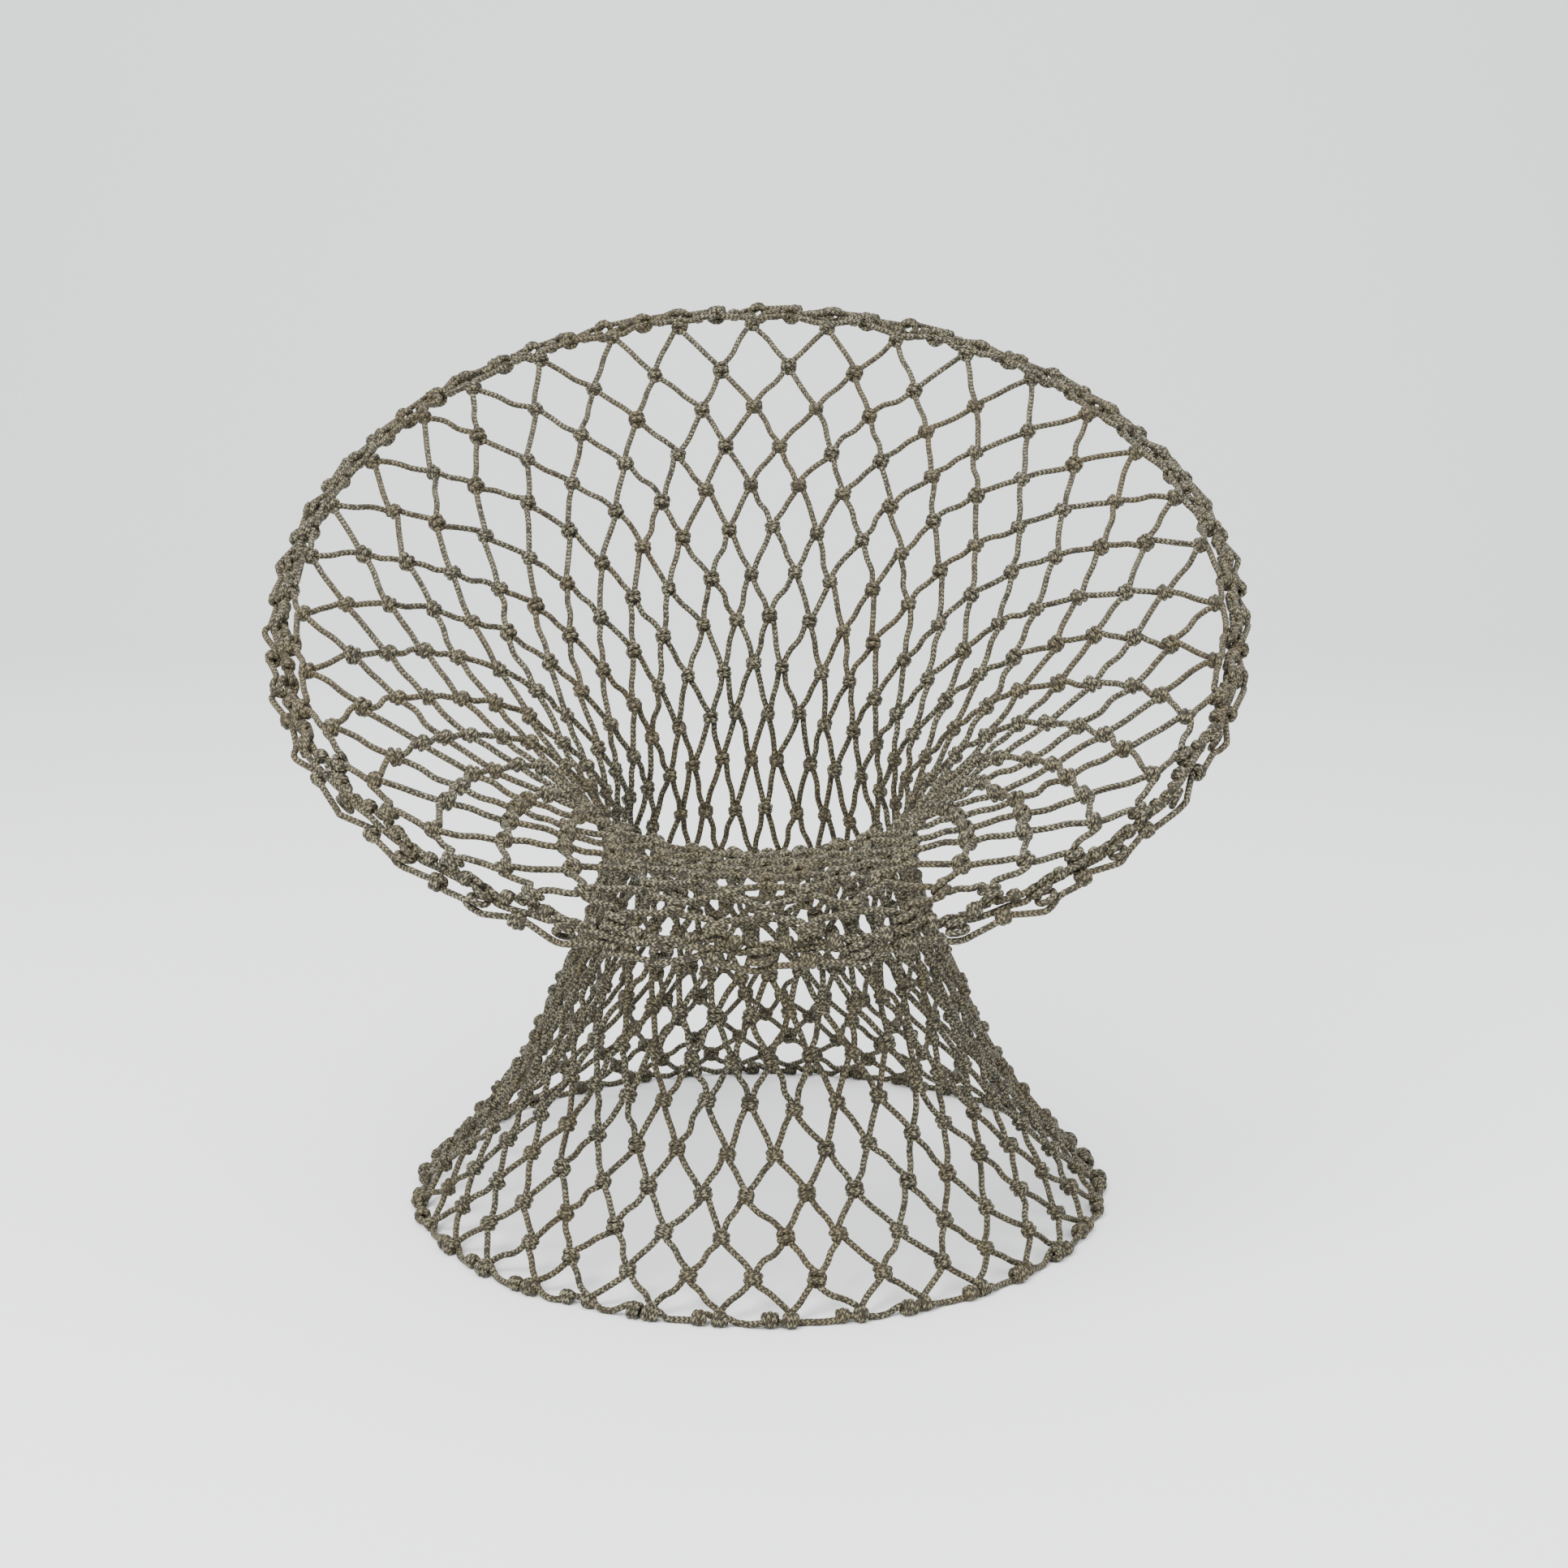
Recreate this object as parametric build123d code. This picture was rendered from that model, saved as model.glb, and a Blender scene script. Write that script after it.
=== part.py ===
from build123d import *
import math
import os

# A lounge chair knotted from one kind of stiffened braided cord. Millimetres, +Z up, floor at Z = 0.
# The origin is the middle of the foot ring. The high back of the dish is towards +Y, the sitter faces -Y.
#
# The chair is a closed tube of diamond netting. Rows of knots are numbered down the tube, from the rim
# of the dish, through the throat, to the foot on the floor. Every row is a closed ring of MESHES knots,
# half a mesh out of step with its neighbours. The cord between two rows is one netting round.

# Driving dimensions ---------------------------------------------------------------------------------
MESHES = 34              # meshes in every row, the same from rim to foot
CORD_R = 2.6             # radius of the braided cord
LOBE_R = 3.7             # radius of one lobe of a knot; a knot is two lobes, one from each round
RIM_LOBE_R = 4.9         # the same in the rim band, where the knots are bigger
LOBE_GAP = 0.2           # clearance between the two lobes of a knot
TURN_HALF = 4.4          # half the width of a cord's turn at a knot, between the middles of its two legs
TURN_SHARE = 0.33        # the same as a share of half a mesh, where the meshes are narrow
SHOULDER = 2.7           # length of the shoulder between a lobe and the plain cord
EDGE_ROW = -2            # outermost row, whose knots sit on the rim cord
RIM_ROW = 0              # row where the open netting of the dish begins
FOOT_ROW = 20            # row whose knots sit on the foot cord
PHASE = -1.1             # degrees, turn of the first column away from the chair's middle line
LEAN = -0.2              # degrees of turn added by every row
CROWDING = 0.18          # how far the columns crowd towards the sitter's knees, at its strongest
CROWDING_ROW = 8.5       # row where they crowd most, just above the throat
CROWDING_REACH = 4.0     # rows over which it fades
SIDE_OPENING = -0.062    # how far the columns open at the sides of the dish, at its strongest
SIDE_OPENING_ROW = 4.5
SIDE_OPENING_REACH = 3.5
RIM_BULGE = 4.0          # how far the rim cord bulges outwards between two knots
FOOT_CORD_Z = 2.3        # height of the foot cord's middle, so that its underside is pressed flat
FOOT_LUMP_R = 5.6        # radius of the extra knots between the meshes, on the foot cord
FOOT_LUMP_Z = 4.2        # height of their middle
FOOT_LUMP_HALF = 3.0     # half the length of those extra knots
SMALL_ANGLE = 0.01       # radians, step for measuring directions along a row

# Profile of the tube, one line for each place where its shape changes. Between them it is a smooth curve.
# (row, back y, back z, front y, front z, half width)
STATIONS = (
    (-2, 307, 686, -307, 282, 367),      # rim edge
    (0, 283, 679, -299, 308, 346),       # end of the crowded band, start of the open netting
    (1, 254, 642, -282, 317, 311),
    (2, 219, 611, -262, 321, 283),
    (4, 174, 547, -224, 322, 229),       # the flat lip in front of the sitter
    (6, 136, 478, -184, 320, 178),
    (8, 109, 406, -150, 284, 132),
    (10, 113, 329, -128, 257, 118),      # throat
    (12, 129, 244, -131, 218, 133),
    (14, 160, 168, -160, 160, 163),
    (16, 194, 101, -194, 100, 194),
    (18, 234, 48, -234, 48, 234),        # skirt
    (20, 270, 5.5, -270, 5.5, 270),      # foot
)


# The surface ----------------------------------------------------------------------------------------
def slope(i, column):
    """Change per row of one station value, from its neighbours on both sides."""
    before = STATIONS[max(i - 1, 0)]
    after = STATIONS[min(i + 1, len(STATIONS) - 1)]
    return (after[column] - before[column]) / (after[0] - before[0])


def profile(row):
    """Back y, back z, front y, front z and half width at a row, which may be a fraction."""
    last = len(STATIONS) - 2
    i = max(0, min(last, sum(1 for station in STATIONS if station[0] <= row) - 1))
    here, there = STATIONS[i], STATIONS[i + 1]
    span = there[0] - here[0]
    t = (row - here[0]) / span
    values = []
    for column in range(1, 6):
        start = (1 + 2 * t) * (1 - t) ** 2 * here[column] + t * (1 - t) ** 2 * span * slope(i, column)
        end = t * t * (3 - 2 * t) * there[column] + t * t * (t - 1) * span * slope(i + 1, column)
        values.append(start + end)
    return values


def bump(distance):
    """1 at no distance, fading smoothly to nothing."""
    return math.exp(-(distance**2))


def surface(row, angle):
    """Point on the netting. The angle is in radians, 0 at the back, growing towards +X."""
    back_y, back_z, front_y, front_z, half_width = profile(row)
    crowding = CROWDING * bump((row - CROWDING_ROW) / CROWDING_REACH)
    opening = SIDE_OPENING * bump((row - SIDE_OPENING_ROW) / SIDE_OPENING_REACH)
    turned = angle + crowding * math.sin(angle) + opening * math.sin(2 * angle)
    share = (1 + math.cos(turned)) / 2
    return Vector(
        half_width * math.sin(turned),
        front_y + (back_y - front_y) * share,
        front_z + (back_z - front_z) * share,
    )


def column_angle(row, half_step):
    """Angle of a knot. Half steps count half meshes, even on even rows and odd on odd rows."""
    return math.pi * half_step / MESHES + math.radians(PHASE + LEAN * row)


def knot(row, half_step):
    return surface(row, column_angle(row, half_step))


def downward(row, half_step):
    """Unit vector along the netting from this knot towards the foot."""
    angle = column_angle(row, half_step)
    return (surface(row + 0.5, angle) - surface(row - 0.5, angle)).normalized()


def half_steps(row):
    return range(row % 2, 2 * MESHES, 2)


# Shapes ---------------------------------------------------------------------------------------------
def across(row, half_step):
    """Unit vector along the row of knots, and the outward normal of the netting, both square to downward."""
    angle = column_angle(row, half_step)
    tangent = surface(row, angle + SMALL_ANGLE) - surface(row, angle - SMALL_ANGLE)
    down = downward(row, half_step)
    normal = tangent.cross(down).normalized()
    return down.cross(normal), normal


def turn_half(row, half_step):
    """Half the width of the cord's turn at a knot, less where the meshes are narrow."""
    before = surface(row, column_angle(row, half_step - 1))
    after = surface(row, column_angle(row, half_step + 1))
    return min(TURN_HALF, TURN_SHARE * (after - before).length / 2)


def lobe_radius(row):
    return RIM_LOBE_R if row <= RIM_ROW else LOBE_R


def lobe_centre(row, half_step, side):
    """Middle of a knot's lobe: side 1 is the lobe towards the foot, side -1 the one towards the rim."""
    return knot(row, half_step) + downward(row, half_step) * side * (lobe_radius(row) + LOBE_GAP / 2)


def ring(centre, axis, radius, normal):
    """Round section of a cord, square to the axis. The normal fixes where the section starts."""
    return Wire.make_circle(radius, Plane(origin=centre, x_dir=normal, z_dir=axis))


def closed_cord(sections, other_faces=()):
    """One solid through all the sections, and from the last back to the first."""
    skin = list(other_faces)
    for here, there in zip(sections, sections[1:] + sections[:1]):
        skin += Shell.make_loft([here, there], ruled=True).faces()
    return Solid(Shell(skin))


def knotted_cord(lobes, bulge=0.0):
    """The cord that goes once round the chair through these lobes, bulging towards the rim between them."""
    sections = []
    for here, there in zip(lobes, lobes[1:] + lobes[:1]):
        along, normal = across(*here[:2])
        next_along, next_normal = across(*there[:2])
        middle = lobe_centre(*here)
        reach = turn_half(*here[:2])
        for shift in (SHOULDER - reach, reach - SHOULDER):
            sections.append(ring(middle + along * shift, along, lobe_radius(here[0]), normal))
        start = middle + along * reach
        end = lobe_centre(*there) - next_along * turn_half(*there[:2])
        run = end - start
        side = normal + next_normal
        sections.append(ring(start, run, CORD_R, side))
        if bulge:
            outward = downward(here[0], here[1] + 1) * -bulge
            sections.append(ring((start + end) / 2 + outward, run, CORD_R, side))
        sections.append(ring(end, run, CORD_R, side))
    return closed_cord(sections)


def netting_round(upper_row):
    """The zigzag of cord between two rows, with its lobe of every knot on both."""
    lobes = []
    for step in half_steps(upper_row):
        lobes.append((upper_row, step, 1))
        lobes.append((upper_row + 1, step + 1, -1))
    return knotted_cord(lobes)


def rim_cord():
    """The outermost cord of the dish, with its lobe of the knots on the edge row."""
    return knotted_cord([(EDGE_ROW, step, -1) for step in half_steps(EDGE_ROW)], RIM_BULGE)


def foot_section(angle, distance, height, radius):
    """Section of the foot cord in an upright plane: round, and open where it is flattened on the floor."""
    outward = Vector(math.sin(angle), math.cos(angle), 0)
    middle = outward * distance
    flat = outward * math.sqrt(radius**2 - height**2)
    top = middle + Vector(0, 0, height + radius)
    return Wire([Edge.make_three_point_arc(middle - flat, top, middle + flat)])


def foot_cord():
    """The cord on the floor, with its lobe of the foot row's knots and one more lump in every mesh."""
    sections = []
    for step in half_steps(FOOT_ROW):
        lobe = lobe_centre(FOOT_ROW, step, 1)
        distance = math.hypot(lobe.X, lobe.Y)
        reach = turn_half(FOOT_ROW, step)
        lobe_shape = (step, lobe.Z, LOBE_R, reach - SHOULDER)
        lump_shape = (step + 1, FOOT_LUMP_Z, FOOT_LUMP_R, FOOT_LUMP_HALF)
        for place, height, radius, half in (lobe_shape, lump_shape):
            angle = column_angle(FOOT_ROW, place)
            plain = (FOOT_CORD_Z, CORD_R)
            for shift, shape in (
                (-half - SHOULDER, plain),
                (-half, (height, radius)),
                (half, (height, radius)),
                (half + SHOULDER, plain),
            ):
                sections.append(foot_section(angle + shift / distance, distance, *shape))
    inside, outside = (Wire.make_polygon([section @ end for section in sections]) for end in (0, 1))
    underside = Face(outside, [inside])
    return closed_cord(sections, [underside])


# The sub-parts --------------------------------------------------------------------------------------
def sub_parts():
    """Name and solid of every piece, from the rim down."""
    yield "rim_cord", rim_cord()
    for row in range(EDGE_ROW, RIM_ROW):
        yield f"rim_band_round_{row - EDGE_ROW + 1}", netting_round(row)
    for row in range(RIM_ROW, FOOT_ROW):
        yield f"netting_round_{row + 1:02d}", netting_round(row)
    yield "foot_cord", foot_cord()


os.makedirs("parts", exist_ok=True)
for name, solid in sub_parts():
    solid.label = name
    export_step(solid, f"parts/{name}.step", write_pcurves=False)
    print(f"{name:22s} {solid.volume / 1000:8.1f} cm3  valid {solid.is_valid}", flush=True)
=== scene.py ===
import math

import bpy
import numpy as np
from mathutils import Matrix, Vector


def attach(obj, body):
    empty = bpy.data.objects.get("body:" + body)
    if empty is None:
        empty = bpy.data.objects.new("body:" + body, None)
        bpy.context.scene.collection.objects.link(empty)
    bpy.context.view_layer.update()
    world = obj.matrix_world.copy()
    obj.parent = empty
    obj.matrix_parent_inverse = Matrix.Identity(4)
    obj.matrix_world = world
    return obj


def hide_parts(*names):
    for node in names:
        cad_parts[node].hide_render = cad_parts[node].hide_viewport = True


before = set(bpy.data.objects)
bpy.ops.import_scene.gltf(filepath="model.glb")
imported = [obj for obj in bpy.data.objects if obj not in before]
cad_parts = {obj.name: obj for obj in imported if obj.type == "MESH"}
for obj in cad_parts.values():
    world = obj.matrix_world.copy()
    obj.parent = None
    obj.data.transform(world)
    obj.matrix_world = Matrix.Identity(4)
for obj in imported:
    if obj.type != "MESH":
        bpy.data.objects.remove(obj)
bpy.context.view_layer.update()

# The looks of a lounge chair knotted from braided cord. Metres, in the CAD model's frame.
# Every netting round is one closed cord, as it is on the real chair: it ties a knot round each loop of
# the round above, hangs a loop down between two knots, and so goes once round the chair.

MM = 0.001
RNG = np.random.default_rng(20261117)

# ---- The netting's own dimensions, as in the CAD model -------------------------------------------------
MESHES = 34
EDGE_ROW = -2
RIM_ROW = 0
FOOT_ROW = 20
PHASE = math.radians(-1.1)
LEAN = math.radians(-0.2)
SMALL_ANGLE = 0.01
CROWDING = 0.18              # how far the columns crowd towards the front, at their strongest
CROWDING_ROW = 8.5
CROWDING_REACH = 4.0
SIDE_OPENING = -0.062        # how far they open at the sides of the dish
SIDE_OPENING_ROW = 4.5
SIDE_OPENING_REACH = 3.5
STATIONS = np.array((
    (-2, 307, 686, -307, 282, 367),      # rim edge
    (0, 283, 679, -299, 308, 346),
    (1, 254, 642, -282, 317, 311),
    (2, 219, 611, -262, 321, 283),
    (4, 174, 547, -224, 322, 229),
    (6, 136, 478, -184, 320, 178),
    (8, 109, 406, -150, 284, 132),
    (10, 113, 329, -128, 257, 118),      # throat
    (12, 129, 244, -131, 218, 133),
    (14, 160, 168, -160, 160, 163),
    (16, 194, 101, -194, 100, 194),
    (18, 234, 48, -234, 48, 234),
    (20, 270, 5.5, -270, 5.5, 270),      # foot
))

# ---- The cord --------------------------------------------------------------------------------------------
CORD_R = 2.4 * MM            # radius of the cord between knots
SIDES = 10                   # faces round the cord; two to each wale of the braid
STITCH = 3.6 * MM            # length of one stitch of the braid along the cord
RING_STEP = STITCH / 2       # two rings of vertices to a stitch
RELIEF = 0.05                # how far a stitch stands out, as a share of the radius
SLACK = 0.9 * MM             # how far a long strand wanders from the straight line between its knots
LONG_STRAND = 30 * MM        # a strand this long has all the slack, and a shorter one its share
TWO_BENDS = 18 * MM          # a strand longer than this bends twice, and a shorter one once
KNOT_WANDER = 1.6 * MM       # how far a single knot sits from its place
DRIFT = 2.4 * MM             # how far whole patches of netting are pulled out of true
EDGE_LOOSENESS = 0.4         # share of both at the rim and the foot, which hold their rings
KNOT_TURN = 0.16             # radians, how far a knot is turned on the netting
KNOT_SIZE = (0.82, 1.02)     # size of the knots against their templates, from smallest to biggest
RIM_KNOT_SIZE = (1.12, 1.36)
TIGHTENING = 0.16            # how much smaller the knots are pulled at the throat
TIGHTENING_ROW = 10.0        # row where they are smallest
TIGHTENING_REACH = 4.5       # rows over which that fades
RIM_BULGE = 5.5 * MM         # how far the rim cord's own lumps sit outside the row of edge knots
BULGE_SPREAD = (0.8, 1.2)
COIL_R = 3.5 * MM            # a lump on the rim or the foot: the cord wound round itself
COIL_LENGTH = 8.5 * MM
COIL_TURNS = 2.6
TURN_POINTS = 5              # control points to a turn
OUTER_LUMP_SIZE = (0.95, 1.25)
BAND_LUMP_SIZE = (0.75, 0.95)
FOOT_LUMP_SIZE = (0.9, 1.35)
FOOT_LUMP_Z = 5.0 * MM       # height of the middle of the lumps on the foot cord
FOOT_PAIR = 0.3              # the foot's lumps are in pairs, this share of a mesh apart
FOOT_PAIR_SPREAD = 0.05
FOOT_OUTSET = 2.4 * MM       # how far the foot cord lies outside its row of knots
FOOT_LUMP_WANDER = 1.2 * MM  # how far a lump, and the plain cord, lie out of the ring
FOOT_CORD_WANDER = 1.0 * MM
FOOT_PLAIN = (0.6, 0.75)     # where the plain cord between two pairs touches the floor, as shares of a mesh
LOWEST = CORD_R * 1.06       # lowest height of a cord's middle, so that it lies on the floor

# Knots, in millimetres from the knot's middle: x along the row, y towards the foot, z out of the netting.
# LOOP hangs from the round above, and WRAP is the turns that the round below ties round it.
LOOP = np.array((
    (-1.9, -4.6, -0.6), (-1.6, -1.5, -0.8), (-1.2, 1.7, -0.4), (0.0, 3.3, 0.2),
    (1.2, 1.7, -0.4), (1.6, -1.5, -0.8), (1.9, -4.6, -0.6),
))
WRAP = np.array((
    (-3.2, 5.4, 0.2), (-2.4, 2.6, 2.6), (0.3, 0.4, 4.4), (4.2, -1.4, 2.4), (4.7, -2.8, -1.6),
    (1.5, -3.6, -4.4), (-3.6, -3.0, -2.8), (-5.0, -1.2, 1.0), (-2.4, 0.2, 4.6), (2.6, 1.6, 4.2),
    (5.0, 2.2, 0.0), (2.2, 2.2, -4.2), (-3.4, 1.8, -3.4), (-4.8, 2.6, 0.8), (-1.0, 3.4, 4.2),
    (2.6, 4.2, 2.6), (3.4, 5.6, 0.2),
))
# The rim cord goes round twice: first outside the edge knots, and then inside them.
OUTER_PASS = np.array(((-7.5, -6.2, 0.8), (-2.6, -7.4, 1.6), (2.6, -7.4, -1.2), (7.5, -6.2, -0.8)))
INNER_PASS = np.array(((-8.5, 2.0, 2.4), (-3.0, 4.6, 5.0), (3.0, 5.4, 4.6), (8.5, 2.6, 1.8)))


def slope(i):
    """Change per row of the station values, from the neighbours on both sides."""
    before = STATIONS[max(i - 1, 0)]
    after = STATIONS[min(i + 1, len(STATIONS) - 1)]
    return (after - before) / (after[0] - before[0])


def profile(row):
    """Back y, back z, front y, front z and half width at a row, in metres."""
    i = int(np.clip(np.sum(STATIONS[:, 0] <= row) - 1, 0, len(STATIONS) - 2))
    here, there = STATIONS[i], STATIONS[i + 1]
    span = there[0] - here[0]
    t = (row - here[0]) / span
    start = (1 + 2 * t) * (1 - t) ** 2 * here + t * (1 - t) ** 2 * span * slope(i)
    end = t * t * (3 - 2 * t) * there + t * t * (t - 1) * span * slope(i + 1)
    return (start + end)[1:] * MM


def bump(distance):
    """1 at no distance, fading smoothly to nothing."""
    return math.exp(-(distance**2))


def surface(row, angles):
    """Points on the netting at a row, one for each angle, 0 at the back."""
    back_y, back_z, front_y, front_z, half_width = profile(row)
    crowding = CROWDING * bump((row - CROWDING_ROW) / CROWDING_REACH)
    opening = SIDE_OPENING * bump((row - SIDE_OPENING_ROW) / SIDE_OPENING_REACH)
    turned = angles + crowding * np.sin(angles) + opening * np.sin(2 * angles)
    share = (1 + np.cos(turned)) / 2
    return np.stack([
        half_width * np.sin(turned),
        front_y + (back_y - front_y) * share,
        front_z + (back_z - front_z) * share,
    ], axis=-1)


def unit(v):
    return v / np.linalg.norm(v, axis=-1, keepdims=True)


class Row:
    """A ring of knots: where they are, and their own axes along the row, down the netting and out of it."""

    def __init__(self, number):
        steps = np.arange(number % 2, 2 * MESHES, 2)
        angles = math.pi * steps / MESHES + PHASE + LEAN * number
        self.place = surface(number, angles)
        self.down = unit(surface(number + 0.5, angles) - surface(number - 0.5, angles))
        along = unit(surface(number, angles + SMALL_ANGLE) - surface(number, angles - SMALL_ANGLE))
        self.out = unit(np.cross(along, self.down))
        self.along = np.cross(self.down, self.out)
        loose = EDGE_LOOSENESS if number in (EDGE_ROW, FOOT_ROW) else 1.0
        # slow waves round the chair and down it
        drift_along = DRIFT * np.sin(3 * angles + 0.7 * number) * np.sin(0.45 * number + 1.0)
        drift_down = DRIFT * np.sin(2 * angles + 0.9) * np.cos(0.5 * number)
        jitter = RNG.normal(0, KNOT_WANDER, (len(steps), 2))
        self.place = (
            self.place
            + loose * self.along * (drift_along + jitter[:, 0])[:, None]
            + loose * self.down * (drift_down + jitter[:, 1])[:, None]
        )
        self.turn = RNG.normal(0, KNOT_TURN, len(steps))
        tightness = TIGHTENING * bump((number - TIGHTENING_ROW) / TIGHTENING_REACH)
        size_range = RIM_KNOT_SIZE if number < RIM_ROW else KNOT_SIZE
        self.size = RNG.uniform(*size_range, len(steps)) * (1 - tightness)
        # netters work alternate knots from either face, so a knot may show its front or its back
        self.face = np.where(RNG.random(len(steps)) < 0.5, 1, -1)

    def points(self, i, template):
        """A knot's template points, in millimetres, set at knot i."""
        i = i % MESHES
        x, y, z = (template * self.size[i]).T
        c, s = math.cos(self.turn[i]), math.sin(self.turn[i])
        x, y = c * x - s * y, s * x + c * y
        z = z * self.face[i]
        return self.place[i] + MM * (
            x[:, None] * self.along[i] + y[:, None] * self.down[i] + z[:, None] * self.out[i]
        )


def strand(start, end, out):
    """Points between two knots: a line that wanders a little, sideways and in and out of the netting."""
    run = end - start
    length = np.linalg.norm(run)
    sideways = np.cross(run / length, out)
    count = 2 if length > TWO_BENDS else 1
    shares = (np.arange(count) + 1) / (count + 1)
    offsets = RNG.normal(0, SLACK * min(1.0, length / LONG_STRAND), (count, 2))
    return start + run * shares[:, None] + offsets[:, :1] * sideways + offsets[:, 1:] * out


def coil(middle, along, up, size):
    """Control points of a cord wound round itself: a lump."""
    sideways = np.cross(along, up)
    count = round(TURN_POINTS * COIL_TURNS)
    start = RNG.uniform(0, 2 * math.pi)
    share = np.arange(count + 1)[:, None] / count
    angle = start + 2 * math.pi * COIL_TURNS * share
    swell = COIL_R * size * (0.8 + 0.3 * np.sin(math.pi * share))
    across = np.cos(angle) * sideways + np.sin(angle) * up
    return middle + along * (share - 0.5) * COIL_LENGTH * size + across * swell


def lumpy_strand(start, end, out):
    """A short strand of the rim band, with a lump half way."""
    return coil((start + end) / 2, unit(end - start), out, RNG.uniform(*BAND_LUMP_SIZE))


def netting_round(rows, upper):
    """Control points of the closed cord between two rows."""
    link = lumpy_strand if upper == EDGE_ROW else strand
    top, bottom = rows[upper], rows[upper + 1]
    first_bottom = 0 if upper % 2 == 0 else 1
    pieces = []
    for i in range(MESHES):
        wrap = top.points(i, WRAP)
        loop = bottom.points(i + first_bottom, LOOP)
        next_wrap = top.points(i + 1, WRAP)
        out = top.out[i]
        pieces += [wrap, link(wrap[-1], loop[0], out), loop, link(loop[-1], next_wrap[0], out)]
    return np.concatenate(pieces)


def rim_cord(rows):
    """Control points of the outermost cord. Its first lap has a lump between each two edge knots."""
    edge = rows[EDGE_ROW]
    pieces = []
    for i in range(MESHES):
        j = (i + 1) % MESHES
        here, there = edge.points(i, OUTER_PASS), edge.points(j, OUTER_PASS)
        outward = -unit(edge.down[i] + edge.down[j])
        along = unit(there[0] - here[-1])
        middle = (edge.place[i] + edge.place[j]) / 2 + outward * RIM_BULGE * RNG.uniform(*BULGE_SPREAD)
        middle += along * RNG.normal(0, KNOT_WANDER)
        pieces += [here, coil(middle, along, np.cross(outward, along), RNG.uniform(*OUTER_LUMP_SIZE))]
    for i in range(MESHES):
        here, there = edge.points(i, INNER_PASS), edge.points(i + 1, INNER_PASS)
        pieces += [here, strand(here[-1], there[0], edge.out[i])]
    return np.concatenate(pieces)


def foot_cord(rows):
    """Control points of the cord on the floor, with two lumps at every mesh: a knot and a hitch beside it."""
    foot = rows[FOOT_ROW]
    radius = np.hypot(foot.place[:, 0], foot.place[:, 1]).mean() + FOOT_OUTSET
    pitch = 2 * math.pi / MESHES
    up = np.array((0.0, 0.0, 1.0))
    pieces = []
    for step in range(MESHES):
        start = pitch * step + PHASE + LEAN * FOOT_ROW
        for angle in (start, start + pitch * (FOOT_PAIR + RNG.normal(0, FOOT_PAIR_SPREAD))):
            wander = radius + RNG.normal(0, FOOT_LUMP_WANDER)
            middle = np.array((wander * math.sin(angle), wander * math.cos(angle), FOOT_LUMP_Z))
            along = np.array((math.cos(angle), -math.sin(angle), 0.0))
            pieces.append(coil(middle, along, up, RNG.uniform(*FOOT_LUMP_SIZE)))
        for share in FOOT_PLAIN:
            angle = start + pitch * share
            wander = radius + RNG.normal(0, FOOT_CORD_WANDER)
            pieces.append([(wander * math.sin(angle), wander * math.cos(angle), LOWEST)])
    return np.concatenate(pieces)


# ---- From control points to a braided tube ---------------------------------------------------------------
FINE = 10                    # points worked out between two control points


def smooth_closed(points, step):
    """Evenly spaced points, an even number of them, along the smooth closed curve through the given ones."""
    before, after, beyond = (np.roll(points, k, axis=0) for k in (1, -1, -2))
    t = (np.arange(FINE) / FINE)[None, :, None]
    p0, p1, p2, p3 = (p[:, None, :] for p in (before, points, after, beyond))
    curve = 0.5 * (
        2 * p1 + (p2 - p0) * t + (2 * p0 - 5 * p1 + 4 * p2 - p3) * t**2 + (3 * p1 - 3 * p2 + p3 - p0) * t**3
    )
    curve = curve.reshape(-1, 3)
    curve[:, 2] = np.maximum(curve[:, 2], LOWEST)
    closed = np.vstack([curve, curve[:1]])
    travelled = np.concatenate([[0], np.cumsum(np.linalg.norm(np.diff(closed, axis=0), axis=1))])
    count = 2 * round(travelled[-1] / (2 * step))
    wanted = np.linspace(0, travelled[-1], count, endpoint=False)
    return np.stack([np.interp(wanted, travelled, closed[:, k]) for k in range(3)], axis=-1)


def frames(points):
    """Two axes across a closed curve at every point, carried along it with the least twist that closes it."""
    ahead = unit(np.roll(points, -1, axis=0) - np.roll(points, 1, axis=0))
    side = np.empty_like(points)
    side[0] = unit(np.cross(ahead[0], (0.0, 0.0, 1.0)))
    for i in range(1, len(points)):
        kept = side[i - 1] - ahead[i] * np.dot(side[i - 1], ahead[i])
        side[i] = kept / math.sqrt(kept @ kept)
    up = np.cross(ahead, side)
    # the last pair of axes is turned against the first, and every point takes its share of that turn back
    turn_left = math.atan2(side[-1] @ up[0], side[-1] @ side[0])
    turn = -turn_left * np.arange(len(points))[:, None] / (len(points) - 1)
    return np.cos(turn) * side + np.sin(turn) * up, np.cos(turn) * up - np.sin(turn) * side


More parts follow.
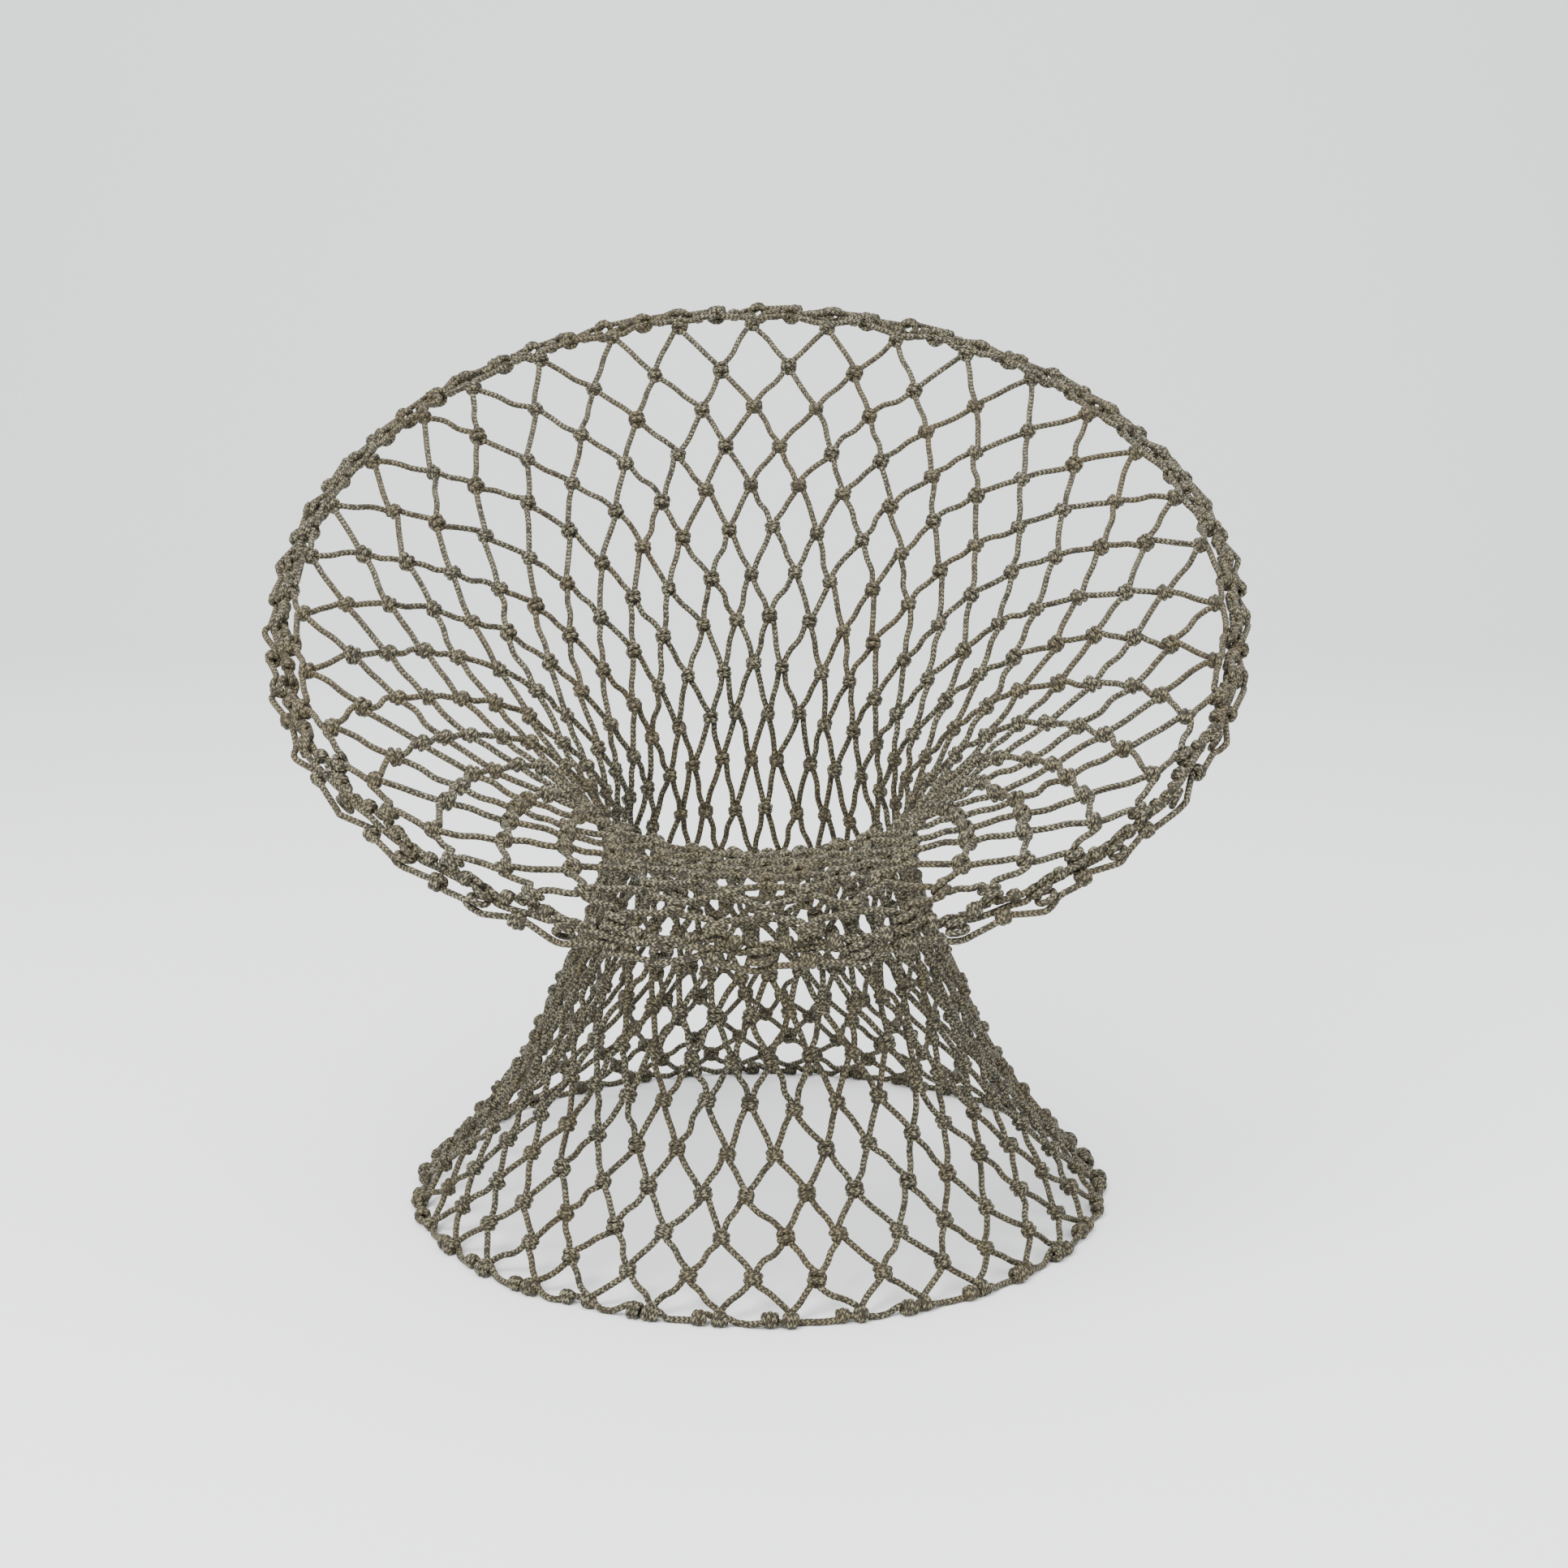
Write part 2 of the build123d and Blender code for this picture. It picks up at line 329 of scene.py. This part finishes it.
def cord_mesh(name, points, radius):
    """A closed braided cord along the points: its stitches stand out as rows of small lumps."""
    side, up = frames(points)
    rings = len(points)
    ring = np.arange(rings)[:, None]
    face = np.arange(SIDES)[None, :]
    around = 2 * math.pi * face / SIDES
    swell = radius * (1 + RELIEF * np.where((ring + face) % 2 == 0, 1, -1))
    vertices = (
        points[:, None, :]
        + (swell * np.cos(around))[..., None] * side[:, None, :]
        + (swell * np.sin(around))[..., None] * up[:, None, :]
    ).reshape(-1, 3)
    a = ring * SIDES + face
    b = ring * SIDES + (face + 1) % SIDES
    c = (ring + 1) % rings * SIDES + (face + 1) % SIDES
    d = (ring + 1) % rings * SIDES + face
    quads = np.stack([a, b, c, d], axis=-1).reshape(-1, 4)
    mesh = bpy.data.meshes.new(name)
    mesh.vertices.add(len(vertices))
    mesh.vertices.foreach_set("co", vertices.ravel())
    mesh.loops.add(quads.size)
    mesh.loops.foreach_set("vertex_index", quads.ravel())
    mesh.polygons.add(len(quads))
    mesh.polygons.foreach_set("loop_start", np.arange(0, quads.size, 4))
    mesh.update(calc_edges=True)
    mesh.polygons.foreach_set("use_smooth", np.ones(len(quads), dtype=bool))
    # texture coordinates: stitches along the cord, and turns round it
    along = np.broadcast_to(ring, (rings, SIDES))
    turn = np.broadcast_to(face, (rings, SIDES))
    u = np.stack([along, along, along + 1, along + 1], axis=-1) * RING_STEP / STITCH
    v = np.stack([turn, turn + 1, turn + 1, turn], axis=-1) / SIDES
    layer = mesh.uv_layers.new(name="braid")
    layer.data.foreach_set("uv", np.stack([u, v], axis=-1).ravel())
    mesh.validate()
    return mesh


def add_piece(name, mesh, material, replaced):
    piece = bpy.data.objects.new(name, mesh)
    bpy.context.scene.collection.objects.link(piece)
    mesh.materials.append(material)
    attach(piece, "root")
    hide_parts(replaced)


# ---- Materials -------------------------------------------------------------------------------------------
# colours of the yarns and of the floor, and a darker copy of the cream yarn that paints shade on it
DARK_OLIVE = (0.006, 0.0044, 0.002, 1)
DARK_BROWN = (0.015, 0.0103, 0.004, 1)
DARK_FLECK = (0.030, 0.0245, 0.0115, 1)
CREAM = (0.198, 0.182, 0.112, 1)
TAN = (0.146, 0.117, 0.057, 1)
# the cream yarn in painted shade: a darker copy of it, not a colour of its own
SHADED_CREAM = (0.050, 0.041, 0.021, 1)
PALE_GREY = (0.81, 0.82, 0.825, 1)
PALER_GREY = (0.85, 0.86, 0.865, 1)
# noise scales, in features to the metre
WOBBLE_SCALE = 700.0         # stitches pulled out of line
FLECK_AND_SHADE_SCALE = 520.0          # flecks of worn dark yarn, and spots of painted shade on the cream yarn
PATCH_SCALE = 16.0           # browner and greyer lengths of cord
ROUGH_SCALE = 300.0
FIBRE_SCALE = 2600.0


class Nodes:
    """Short calls for building a node material."""

    def __init__(self, name):
        self.material = bpy.data.materials.new(name)
        self.material.use_nodes = True
        self.tree = self.material.node_tree
        self.shader = self.tree.nodes["Principled BSDF"]

    def put(self, socket, value):
        if isinstance(value, bpy.types.NodeSocket):
            self.tree.links.new(value, socket)
        else:
            socket.default_value = value

    def math(self, operation, *values):
        node = self.tree.nodes.new("ShaderNodeMath")
        node.operation = operation
        for socket, value in zip(node.inputs, values):
            self.put(socket, value)
        return node.outputs[0]

    def noise(self, scale, detail=2.0, vector=None):
        node = self.tree.nodes.new("ShaderNodeTexNoise")
        node.inputs["Scale"].default_value = scale
        node.inputs["Detail"].default_value = detail
        if vector is not None:
            self.put(node.inputs["Vector"], vector)
        return node.outputs["Fac"]

    def ramp(self, value, low, high):
        """0 below low, 1 above high, smooth between."""
        node = self.tree.nodes.new("ShaderNodeMapRange")
        node.interpolation_type = "SMOOTHSTEP"
        self.put(node.inputs["Value"], value)
        node.inputs["From Min"].default_value = low
        node.inputs["From Max"].default_value = high
        return node.outputs["Result"]

    def mix(self, share, first, second):
        node = self.tree.nodes.new("ShaderNodeMix")
        node.data_type = "RGBA"
        self.put(node.inputs["Factor"], share)
        self.put(node.inputs["A"], first)
        self.put(node.inputs["B"], second)
        return node.outputs["Result"]


def braided_cord():
    """Dark olive and cream yarns in V stitches, stiffened with a thin coat of resin."""
    n = Nodes("braided_cord")
    uv = n.tree.nodes.new("ShaderNodeUVMap")
    uv.uv_map = "braid"
    split = n.tree.nodes.new("ShaderNodeSeparateXYZ")
    n.put(split.inputs[0], uv.outputs[0])
    place = n.tree.nodes.new("ShaderNodeTexCoord").outputs["Object"]
    stitches, turn = split.outputs[0], split.outputs[1]
    wales = n.math("MULTIPLY", turn, SIDES / 2)
    across = n.math("ABSOLUTE", n.math("SUBTRACT", n.math("FRACT", wales), 0.5))   # 0 in a wale's middle
    wobble = n.math("MULTIPLY", n.math("SUBTRACT", n.noise(WOBBLE_SCALE, 2.0, place), 0.5), 0.7)
    run = n.math("ADD", n.math("ADD", stitches, across), wobble)
    phase = n.math("FRACT", run)
    from_middle = n.math("ABSOLUTE", n.math("SUBTRACT", phase, 0.5))
    height = n.math("SUBTRACT", 1.0, n.math("MULTIPLY", from_middle, 2.0))
    # every stitch has its own tone, and a few cream ones are missing
    cell = n.tree.nodes.new("ShaderNodeCombineXYZ")
    n.put(cell.inputs[0], n.math("FLOOR", run))
    n.put(cell.inputs[1], n.math("FLOOR", n.math("MULTIPLY", wales, 2.0)))
    chance = n.tree.nodes.new("ShaderNodeTexWhiteNoise")
    chance.noise_dimensions = "2D"
    n.put(chance.inputs["Vector"], cell.outputs[0])
    cream = n.math("MULTIPLY", n.ramp(height, 0.42, 0.64), n.ramp(chance.outputs["Value"], 0.02, 0.45))
    # one noise gives lighter flecks on the dark yarn where it is high, and painted shade on the cream yarn
    # where it is low
    fleck_and_shade = n.ramp(n.noise(FLECK_AND_SHADE_SCALE, 3.0, place), 0.32, 0.62)
    patch = n.ramp(n.noise(PATCH_SCALE, 3.0, place), 0.35, 0.68)
    dark = n.mix(patch, DARK_OLIVE, DARK_BROWN)
    dark = n.mix(n.math("MULTIPLY", fleck_and_shade, 0.5), dark, DARK_FLECK)
    light = n.mix(fleck_and_shade, SHADED_CREAM, n.mix(patch, CREAM, TAN))
    n.put(n.shader.inputs["Base Color"], n.mix(cream, dark, light))
    roughness = n.math("MULTIPLY_ADD", n.noise(ROUGH_SCALE, 2.0, place), 0.25, 0.5)
    n.put(n.shader.inputs["Roughness"], roughness)
    n.shader.inputs["Specular IOR Level"].default_value = 0.3
    n.shader.inputs["Sheen Weight"].default_value = 0.05
    fibres = n.noise(FIBRE_SCALE, 2.0, place)
    stitch_height = n.math("MULTIPLY_ADD", fibres, 0.25, n.math("POWER", height, 0.6))
    bump_node = n.tree.nodes.new("ShaderNodeBump")
    bump_node.inputs["Strength"].default_value = 0.7
    bump_node.inputs["Distance"].default_value = 0.5 * MM
    n.put(bump_node.inputs["Height"], stitch_height)
    n.put(n.shader.inputs["Normal"], bump_node.outputs[0])
    return n.material


def floor_paint():
    n = Nodes("pale_floor")
    tone = n.noise(3.0, 3.0)
    n.put(n.shader.inputs["Base Color"], n.mix(tone, PALE_GREY, PALER_GREY))
    n.shader.inputs["Roughness"].default_value = 0.6
    return n.material


# ---- The camera and the studio ---------------------------------------------------------------------------
CAMERA_HEIGHT = 0.755
CAMERA_DISTANCE = 1.915
CAMERA_ASIDE = 0.0194
CAMERA_PITCH = math.radians(12.45)
SENSOR = 36.0
FOCAL_TO_WIDTH = 1.596        # focal length as a share of the picture's width
LAMPS = (                     # name, place, size, power and colour
    ("key", (-1.4, -2.0, 3.0), 2.0, 230, (1.0, 0.985, 0.96)),
    ("fill", (2.2, -1.8, 2.6), 2.4, 80, (0.98, 0.99, 1.0)),
    ("wall", (0.0, 0.4, 3.4), 3.0, 90, (1.0, 1.0, 1.0)),
)
LAMPS_AIM = Vector((0, 0, 0.35))
SKY_COLOUR = (0.96, 0.98, 1.0, 1)
SKY_STRENGTH = 1.2
FLOOR_HALF_WIDTH = 9.0
FLOOR_FRONT = -9.0            # y where the floor starts
FLOOR_BACK = 2.6              # y where it begins to curve up
BEND_R = 2.0                  # radius of that curve
BEND_STEPS = 24
WALL_TOP = 6.0


def add_camera():
    camera = bpy.data.objects.new("camera", bpy.data.cameras.new("camera"))
    camera.data.sensor_width = SENSOR
    camera.data.lens = SENSOR * FOCAL_TO_WIDTH
    camera.location = (CAMERA_ASIDE, -CAMERA_DISTANCE, CAMERA_HEIGHT)
    camera.rotation_euler = (math.pi / 2 - CAMERA_PITCH, 0, 0)
    bpy.context.scene.collection.objects.link(camera)
    bpy.context.scene.camera = camera


def add_light(name, place, size, power, colour):
    light = bpy.data.lights.new(name, "AREA")
    light.size = size
    light.energy = power
    light.color = colour
    lamp = bpy.data.objects.new(name, light)
    lamp.location = place
    lamp.rotation_euler = (LAMPS_AIM - lamp.location).to_track_quat("-Z", "Y").to_euler()
    bpy.context.scene.collection.objects.link(lamp)


def add_studio():
    """A plain pale floor that curves up into a plain pale wall, a bright sky and three soft lamps."""
    outline = [(FLOOR_FRONT, 0.0)]
    for k in range(BEND_STEPS + 1):
        angle = math.pi / 2 * k / BEND_STEPS
        outline.append((FLOOR_BACK + BEND_R * math.sin(angle), BEND_R * (1 - math.cos(angle))))
    outline.append((FLOOR_BACK + BEND_R, WALL_TOP))
    vertices = [(x, y, z) for y, z in outline for x in (-FLOOR_HALF_WIDTH, FLOOR_HALF_WIDTH)]
    faces = [(2 * k, 2 * k + 1, 2 * k + 3, 2 * k + 2) for k in range(len(outline) - 1)]
    mesh = bpy.data.meshes.new("floor")
    mesh.from_pydata(vertices, [], faces)
    mesh.polygons.foreach_set("use_smooth", np.ones(len(faces), dtype=bool))
    mesh.materials.append(floor_paint())
    floor = bpy.data.objects.new("floor", mesh)
    bpy.context.scene.collection.objects.link(floor)
    world = bpy.data.worlds.new("studio")
    world.use_nodes = True
    sky = world.node_tree.nodes["Background"]
    sky.inputs["Color"].default_value = SKY_COLOUR
    sky.inputs["Strength"].default_value = SKY_STRENGTH
    bpy.context.scene.world = world
    for lamp in LAMPS:
        add_light(*lamp)


# ---- Making the chair ------------------------------------------------------------------------------------
add_camera()
add_studio()
CORD = braided_cord()
ROWS = {number: Row(number) for number in range(EDGE_ROW, FOOT_ROW + 1)}


def node_of(upper):
    """The CAD node of the round under a row."""
    if upper < 0:
        return f"rim_band_round_{upper - EDGE_ROW + 1}"
    return f"netting_round_{upper + 1:02d}"


paths = {"rim_cord": rim_cord(ROWS), "foot_cord": foot_cord(ROWS)}
for upper_row in range(EDGE_ROW, FOOT_ROW):
    paths[node_of(upper_row)] = netting_round(ROWS, upper_row)
for node, path in paths.items():
    mesh = cord_mesh(node, smooth_closed(path, RING_STEP), CORD_R)
    add_piece(f"cord_of_{node}", mesh, CORD, node)
